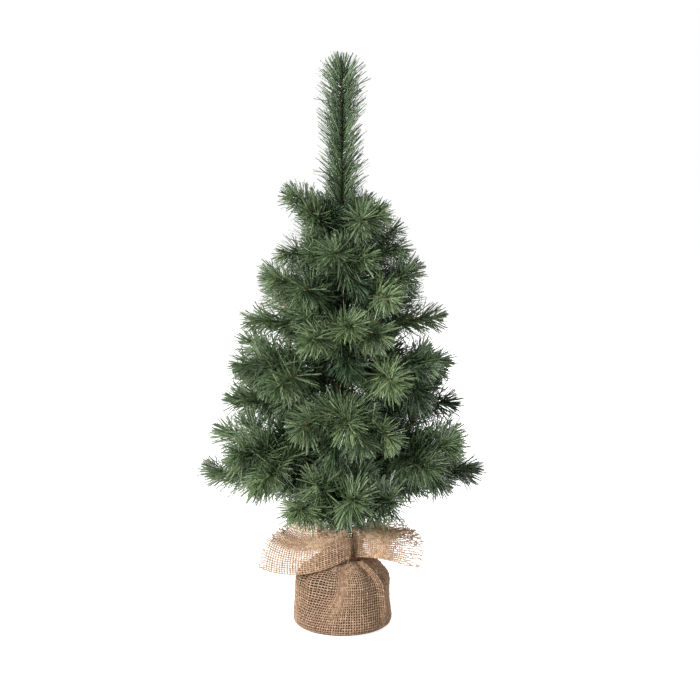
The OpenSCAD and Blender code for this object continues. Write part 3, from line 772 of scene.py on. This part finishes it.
def woven_guide(name, patches):
    """A mesh of yarn lines from patches of crossing points, each a dict of points and what is known of them.

    girth is how thick the yarns are there, pale how far painted light makes them paler, and the gaps name the
    yarns to leave out.
    """
    points, outs, overs, girths, painted_lights, edges, wefts = [], [], [], [], [], [], []
    for patch in patches:
        grid = patch["points"]
        rows, columns = grid.shape[:2]
        closed = patch.get("closed", False)
        if closed:
            across = np.roll(grid, -1, 1) - np.roll(grid, 1, 1)
        elif columns > 1:
            across = np.gradient(grid, axis=1)
        else:
            across = np.zeros_like(grid)
        normal = np.cross(across, np.gradient(grid, axis=0))
        normal /= np.maximum(np.linalg.norm(normal, axis=2, keepdims=True), 1e-9)
        first = len(points)
        number = np.arange(rows * columns).reshape(rows, columns) + first
        points += [p for row in grid for p in row]
        outs += [n for row in normal for n in row]
        overs += [1 - 2 * ((i + j) % 2) for i in range(rows) for j in range(columns)]
        girths += list(np.broadcast_to(patch["girth"], (rows, columns)).ravel())
        painted_lights += list(np.broadcast_to(patch.get("painted_light", 0), (rows, columns)).ravel())
        warp_gaps = patch.get("warp_gaps", set())
        weft_gaps = patch.get("weft_gaps", set())
        for i in range(rows):
            for j in range(columns):
                if i + 1 < rows and (i, j) not in warp_gaps:
                    edges.append((number[i, j], number[i + 1, j]))
                    wefts.append(False)
                if (closed or j + 1 < columns) and (i, j) not in weft_gaps:
                    edges.append((number[i, j], number[i, (j + 1) % columns]))
                    wefts.append(True)
    mesh = bpy.data.meshes.new(name)
    mesh.from_pydata([p * MM for p in points], edges, [])
    mesh.attributes.new("out", "FLOAT_VECTOR", "POINT").data.foreach_set("vector", np.ravel(outs))
    for label, held in (("over", overs), ("girth", girths), ("painted_light", painted_lights)):
        mesh.attributes.new(label, "FLOAT", "POINT").data.foreach_set("value", held)
    mesh.attributes.new("weft", "BOOLEAN", "EDGE").data.foreach_set("value", wefts)
    return mesh


def along_line(line, spacing):
    """Points at an even spacing along a line of rows of numbers, by its first two columns."""
    run = np.concatenate([[0], np.cumsum(np.linalg.norm(np.diff(line[:, :2], axis=0), axis=1))])
    steps = np.linspace(0, run[-1], max(2, round(run[-1] / spacing) + 1))
    return np.stack([np.interp(steps, run, column) for column in line.T], axis=1)


def sack_profile():
    """Rows of the sack from its foot's bend to its mouth: radius, height and share of the pleats of each."""
    t = np.linspace(0, 1, 40)
    quarter = np.pi / 2 * t
    foot_r = POT_FOOT_R + CLOTH_OUT
    belly_r = POT_RIM_R + CLOTH_OUT
    corner_r, corner_z = foot_r - FOOT_ROUND, UNDER_Z + FOOT_ROUND
    zero, one = 0 * t, 1 + 0 * t
    foot = [corner_r + FOOT_ROUND * np.sin(quarter), corner_z - FOOT_ROUND * np.cos(quarter), zero]
    side = [mix(foot_r, belly_r, smooth(t * FOOT_TAPER)), mix(corner_z, RIM_Z, t), RIM_PLEAT * t]
    shoulder = [
        mix(NECK_R, belly_r, np.cos(quarter)),
        mix(RIM_Z, NECK_LOW_Z, mix(t, np.sin(quarter), SHOULDER_ROUND)),
        mix(RIM_PLEAT, 1, t) + SHOULDER_PLEAT * np.sin(np.pi * t),
    ]
    neck = [NECK_R + zero, mix(NECK_LOW_Z, NECK_HIGH_Z, t), one]
    mouth = [mix(MOUTH_R, NECK_R, np.cos(quarter)), mix(NECK_HIGH_Z, MOUTH_Z, t), one]
    stretches = [np.stack(stretch, 1) for stretch in (foot, side, shoulder, neck, mouth)]
    rows = np.concatenate([stretches[0]] + [stretch[1:] for stretch in stretches[1:]])
    return along_line(rows, YARN_PITCH)


def sack_wall():
    """The sack from its foot to its mouth, by rows and warps: pleated to the neck, ridged at the seam."""
    rows = sack_profile()
    phases = np.random.default_rng([SEED, 2]).uniform(0, 2 * math.pi, 4)
    angles = np.arange(WARPS) * 2 * math.pi / WARPS
    r, z, pleat = (column[:, None] for column in rows.T)
    # Warps on the left lean towards the front pleat on their way up
    angle = angles + LEAN * hump(angles, math.radians(LEAN_AT), LEAN_WIDE) * ramp(z, LEAN_LOW_Z, LEAN_FULL_Z)
    wave = np.cos(PLEATS * angle + 0.9 * np.sin(2 * angle + phases[0])) + 0.4 * np.cos(7 * angle + phases[1])
    dents = 0.5 * np.sin(3 * angle + z / 17 + phases[2]) + 0.4 * np.sin(5 * angle - z / 11 + phases[3])
    seam = math.radians(SEAM_AT) + SEAM_LEAN * (z - SEAM_MIDDLE_Z)
    below_neck = 1 - ramp(z, SEAM_HIGH_Z, SEAM_END_Z)
    # The ridge rises slowly from the front and drops sharply behind
    off_seam = np.angle(np.exp(1j * (angle - seam))) * r
    width = np.where(off_seam < 0, 2 * SEAM_WIDE, 0.5 * SEAM_WIDE)
    ridge = SEAM_HIGH * hump(off_seam, 0, width) * ramp(z, SEAM_LOW_Z, SEAM_FULL_Z) * below_neck
    behind = hump(off_seam, HOLLOW_OFF, HOLLOW_WIDE)
    hollow = HOLLOW_DEEP * behind * ramp(z, HOLLOW_LOW_Z, HOLLOW_FULL_Z) * below_neck
    dents = dents * ramp(z, DENT_LOW_Z, DENT_FULL_Z)
    radius = r + pleat * PLEAT_DEPTH * wave + dents + ridge - hollow
    # At the front, between the ears, the mouth stays gathered and a little lower
    front = hump(angle, math.radians(FRONT_AT), FRONT_WIDE)
    lowered = NECK_HIGH_Z + (z - NECK_HIGH_Z) * (1 - FRONT_DIP * front)
    gathered = mix(radius, NECK_R - 1 + 1.4 * wave, FRONT_GATHER * front)
    height = np.where(z > NECK_HIGH_Z, lowered, z)
    radius = np.where(z > NECK_HIGH_Z, gathered, radius)
    outwards = np.stack([np.cos(angle), np.sin(angle), 0 * angle], 2)
    points = np.stack([radius * np.cos(angle), radius * np.sin(angle), height], 2)
    girth = np.where(z < UNDER_Z + 1.5, FLOOR_GIRTH, 1) * mix(1, NECK_GIRTH, ramp(z, THIN_LOW_Z, THIN_FULL_Z))
    # Every other warp goes into the pleats' insides on its way to the neck
    pleated = np.flatnonzero((rows[:, 1] > RIM_Z) & (rows[:, 0] < PLEATED_R))
    hidden = {(i, j) for i in pleated for j in range(1, WARPS, 2)}
    inside = (points - PLEAT_INSET * outwards)[pleated, 1::2]
    return [
        {"points": points, "closed": True, "girth": girth, "warp_gaps": hidden},
        {"points": inside, "closed": True, "girth": PLEAT_GIRTH},
    ]


def seam_fold():
    """The rolled fold that runs from the neck down the sack's right side, its yarns close together."""
    rows = sack_profile()
    rows = rows[(rows[:, 1] > FOLD_LOW_Z) & (rows[:, 1] < NECK_LOW_Z) & (rows[:, 0] > NECK_R)]
    r, z = rows[:, 0, None], rows[:, 1, None]
    azimuth = math.radians(SEAM_AT) + SEAM_LEAN * (z - SEAM_MIDDLE_Z)
    over = np.radians(np.linspace(FOLD_FROM, FOLD_TO, FOLD_YARNS))[None, :]
    grown_in = ramp(z, FOLD_START_Z, FOLD_FULL_Z)
    out = r + SEAM_HIGH - FOLD_SUNK + FOLD_HIGH * grown_in * np.sin(over)
    across = -FOLD_HALF * np.cos(over)
    x = out * np.cos(azimuth) - across * np.sin(azimuth)
    y = out * np.sin(azimuth) + across * np.cos(azimuth)
    return {"points": np.stack([x, y, z + 0 * over], 2), "girth": FOLD_GIRTH}


def sack_floor():
    """The cloth under the pot: straight yarns that end at the foot's bend."""
    reach = POT_FOOT_R + CLOTH_OUT - FOOT_ROUND
    count = int(reach // YARN_PITCH)
    ticks = np.arange(-count, count + 1) * YARN_PITCH
    x, y = np.meshgrid(ticks, ticks, indexing="ij")
    inside = x * x + y * y < reach * reach
    points = np.stack([x, y, 0 * x + UNDER_Z], 2)
    warp_gaps = set(zip(*np.nonzero(~(inside[:-1] & inside[1:]))))
    weft_gaps = set(zip(*np.nonzero(~(inside[:, :-1] & inside[:, 1:]))))
    return {"points": points, "girth": FLOOR_GIRTH, "warp_gaps": warp_gaps, "weft_gaps": weft_gaps}


def bezier(points, t):
    """A point on a smooth curve led by its own points, for one or many t."""
    points = [np.asarray(p, float) for p in points]
    while len(points) > 1:
        points = [mix(a, b, t) for a, b in zip(points, points[1:])]
    return points[0]


def ear(rows, ripple, frayed, body, painted_light, key):
    """One ear of the sack's mouth: a folded sheet, rippled, its outermost cross yarns lost here and there.

    frayed is the share of its length that lost them, and body is how thick the yarns look where the cloth is
    bunched, halfway out to the frayed edge.
    """
    chance = np.random.default_rng([SEED, 3, key])
    u = np.linspace(0, 1, EAR_YARNS_OUT)[:, None, None]
    v = np.linspace(0, 1, EAR_YARNS_ACROSS)[None, :, None]
    sheet = bezier([bezier(row, v) for row in rows], u)
    shift = ripple * u * np.sin(5.5 * math.pi * v + 2.2 * u + key)
    points = sheet + shift * np.array([0, -0.7, 0.7]) + np.array([0, 0, NECK_Z])
    # Loose ends of the yarns stray where the cross yarns are gone
    loose = smooth((u - 1 + frayed) / frayed)
    points += chance.normal(0, EAR_STRAY, points.shape) * loose
    last = EAR_YARNS_OUT - 1
    weft_gaps = set()
    for i in range(EAR_YARNS_OUT):
        gone = max(0, (i / last - 1 + frayed) / frayed)
        for j in range(EAR_YARNS_ACROSS - 1):
            if chance.random() < gone * EAR_LOSS or i >= last - 1:
                weft_gaps.add((i, j))
    out = u[..., 0]
    outer_girth = (1 - 0.5 * frayed) / body
    girth = mix(EAR_GIRTH, body, smooth(out * 2.5)) * mix(1, outer_girth, smooth((out - 0.45) * 3))
    # The ear is painted paler outwards from the neck: painted light
    return {"points": points, "girth": girth, "painted_light": painted_light * smooth(2.4 * out), "weft_gaps": weft_gaps}


def loose_yarn():
    """The yarn end that hangs out of the neck."""
    led = [[5, -25, 88], [9, -27, 80], [4, -31, 72], [5, -32, 64], [-5, -36, 62]]
    line = np.stack([bezier(led, t) for t in np.linspace(0, 1, 14)])
    return {"points": line[:, None, :], "girth": LOOSE_GIRTH}


def twine_route():
    """The twine's middle line, in metres: its turns round the neck."""
    turn = np.arange(TWINE_TURNS * TURN_STEPS + 1) / TURN_STEPS
    angle = math.radians(-90) + 2 * math.pi * turn
    height = NECK_Z + (TWINE_D + TWINE_GAP) * (turn - TWINE_TURNS / 2)
    return np.stack([TWINE_R * np.cos(angle), TWINE_R * np.sin(angle), height], 1) * MM


# Camera

camera_data = bpy.data.cameras.new("camera")
camera_data.sensor_width = SENSOR
camera_data.lens = SENSOR / 2 / HALF_VIEW
camera = bpy.data.objects.new("camera", camera_data)
scene.collection.objects.link(camera)
camera.location = CAMERA_AT
camera.rotation_euler = (CAMERA_AIM - CAMERA_AT).to_track_quat("-Z", "Y").to_euler()
scene.camera = camera

# Finishes of the pieces that keep the model's own shape

FILM = pvc_needle_film()
WIRE = lacquered_wire()
BURLAP = jute("woven_jute_burlap", "#6f4c35", "#a6876c", "#c8ac92")
TWINE = jute("spun_jute_twine", "#4f3826", "#7a5a3c", "#94714d")
KEPT = {
    "base_weight": cast_concrete(),
    "base_pot": moulded_polypropylene(),
    "trunk_rod": drawn_steel(),
    "trunk_wrap": crepe_tape(),
}
for node, finish in KEPT.items():
    frame["nodes"][node].data.materials.clear()
    frame["nodes"][node].data.materials.append(finish)

# Twine tie

WIRE_TREE = twisted_wire_tree()
twine_line = [Vector(p) for p in twine_route()]
twine = grown(
    "twine_tie_wound",
    guide_mesh("twine", [twine_line], {"rooted": [0]}),
    WIRE_TREE,
    {
        "Wire Diameter": TWINE_D / 2 * MM,
        "Lay": TWINE_LAY * MM,
        "Step": TWINE_STEP * MM,
        "Hinge Axis": (0, 0, 1),
        "Material": TWINE,
    },
)
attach(twine, "base")
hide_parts("twine_tie")

# Burlap sack

sack = grown(
    "burlap_sack_woven",
    woven_guide(
        "sack",
        [
            *sack_wall(),
            seam_fold(),
            sack_floor(),
            # Each ear's pale share is painted light on it
            ear(LEFT_EAR, ripple=1.6, frayed=0.08, body=1.05, painted_light=0.4, key=0),
            ear(RIGHT_EAR, ripple=1.4, frayed=0.45, body=1.45, painted_light=1, key=1),
            loose_yarn(),
        ],
    ),
    open_weave_tree(),
    {
        "Yarn Diameter": YARN_D * MM,
        "Crimp": CRIMP * MM,
        "Wander": 0.9 * MM,
        "Slub Length": 6 * MM,
        "Fibre Length": 4 * MM,
        "Fibre Diameter": 0.14 * MM,
        "Fibre Density": 18000,
        "Seed": SEED,
        "Material": BURLAP,
    },
)
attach(sack, "base")
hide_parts("burlap_sack")

# Branches and leader

NEEDLE_TREE = needle_fringe_tree()
NEEDLES = {
    "Needle Length": NEEDLE_LEN * MM,
    "Needle Width": NEEDLE_W * MM,
    "Needle Thickness": NEEDLE_T * MM,
    "Spacing": NEEDLE_SPACING * MM,
    "Sweep": math.radians(NEEDLE_SWEEP),
    "Crown": CROWN * MM,
    "Flatness": FLATNESS,
    "Ruffle": RUFFLE,
    "Ruffle Size": RUFFLE_SIZE * MM,
    "Droop": DROOP,
    "Tangle": TANGLE,
    "Material": FILM,
}
JOINTS = {joint["child"]: joint for joint in frame["joints"]}


def dress_shoots(body, nodes, lines, bare, tones_and_painted_light, combs, fringe):
    """Gives a body's wires and needles their looks."""
    wire_node, needle_node = nodes
    values = {
        "bare": [b * MM for b in bare],
        "tone_and_painted_light": tones_and_painted_light,
        "comb": combs,
        "rooted": [1] + [0] * (len(lines) - 1),
    }
    guide = guide_mesh(body, lines, values)
    wire = grown(
        wire_node + "_twisted",
        guide,
        WIRE_TREE,
        {
            "Wire Diameter": WIRE_D * MM,
            "Lay": WIRE_LAY * MM,
            "Step": WIRE_STEP * MM,
            "Knuckle Diameter": KNUCKLE_D * MM,
            "Knuckle Length": KNUCKLE_LEN * MM,
            "Hinge Axis": JOINTS[body]["axis"],
            "Material": WIRE,
        },
    )
    needles = grown(needle_node + "_fringe", guide, NEEDLE_TREE, dict(NEEDLES, **fringe))
    for piece, node, slot in ((wire, wire_node, "wire"), (needles, needle_node, "needles")):
        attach(piece, body)
        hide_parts(node)


for number in range(TIERS * TIER_BRANCHES):
    label = f"{number + 1:02d}"
    body = "branch_" + label
    lines = branch_lines(number, JOINTS[body])
    nodes = ("branch_wire_" + label, "branch_needles_" + label)
    bare = [BARE_ROOT] + [BARE_FORK] * (len(lines) - 1)
    combs = np.random.default_rng([SEED, number, 2]).uniform(0, math.pi, len(lines))
    height = (number // TIER_BRANCHES) / (TIERS - 1)
    fringe = {
        "Seed": SEED + 10 * number,
        "Needle Length": mix(NEEDLE_LEN, TOP_NEEDLE_LEN, height) * MM,
        "Spacing": mix(NEEDLE_SPACING, TOP_SPACING, height) * MM,
    }
    dress_shoots(body, nodes, lines, bare, shoot_tones_and_painted_light(number, lines), combs, fringe)

leader_root = Vector(JOINTS["leader"]["pos_m"])
leader_tip = Vector((0, 0, LEADER_TIP_Z)) * MM
leader_line = [leader_root.lerp(leader_tip, k / 10) for k in range(11)]
leader_nodes = ("leader_wire", "leader_needles")
leader_fringe = {
    "Seed": SEED + 999,
    "Spacing": LEADER_SPACING * MM,
    "Needle Width": LEADER_W * MM,
    "Flatness": LEADER_FLATNESS,
    "Ruffle": LEADER_RUFFLE,
    "Droop": 0.0,
    "Tangle": 0.0,
}
dress_shoots("leader", leader_nodes, [leader_line], [BARE_LEADER], [LEADER_TONE], [0], leader_fringe)

# Needles wound in with the trunk's tape, which hide the trunk between the branches

trunk_line = [Vector((0, 0, mix(TRUNK_FRINGE_LOW, TRUNK_FRINGE_HIGH, k / 8) * MM)) for k in range(9)]
# The trunk's needles take the darkest green, a tone of 0: painted shade inside the crown
trunk_fringe = grown(
    "trunk_fringe",
    guide_mesh("trunk", [trunk_line], {"bare": [0], "tone_and_painted_light": [0], "comb": [0]}),
    NEEDLE_TREE,
    dict(NEEDLES, Seed=SEED, **{"Needle Length": TRUNK_NEEDLE_LEN * MM}),
)
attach(trunk_fringe, "base")

# Floor, backdrop and light

floor_mesh = bpy.data.meshes.new("studio_floor")
corners = [(x * PAPER_HALF, y * PAPER_HALF, 0) for x, y in ((-1, -1), (1, -1), (1, 1), (-1, 1))]
floor_mesh.from_pydata(corners, [], [(0, 1, 2, 3)])
floor_mesh.materials.append(studio_paper())
floor = bpy.data.objects.new("studio_floor", floor_mesh)
scene.collection.objects.link(floor)

world = bpy.data.worlds.new("studio")
world.use_nodes = True
world_tree = world.node_tree
world_tree.nodes.clear()
strength = ranged(world_tree, seen_directly(world_tree), WORLD_LIGHT, 1)
sky = add(world_tree, "ShaderNodeBackground", {"Color": (1, 1, 1, 1), "Strength": strength})
add(world_tree, "ShaderNodeOutputWorld", {"Surface": sky})
scene.world = world

for name, at, size, power in LAMPS:
    lamp = bpy.data.lights.new(name, "AREA")
    lamp.size = size
    lamp.energy = power
    lamp_object = bpy.data.objects.new(name, lamp)
    lamp_object.location = at
    lamp_object.rotation_euler = (Vector((0, 0, LAMP_AIM_Z)) - Vector(at)).to_track_quat("-Z", "Y").to_euler()
    scene.collection.objects.link(lamp_object)

scene.view_settings.view_transform = "Standard"
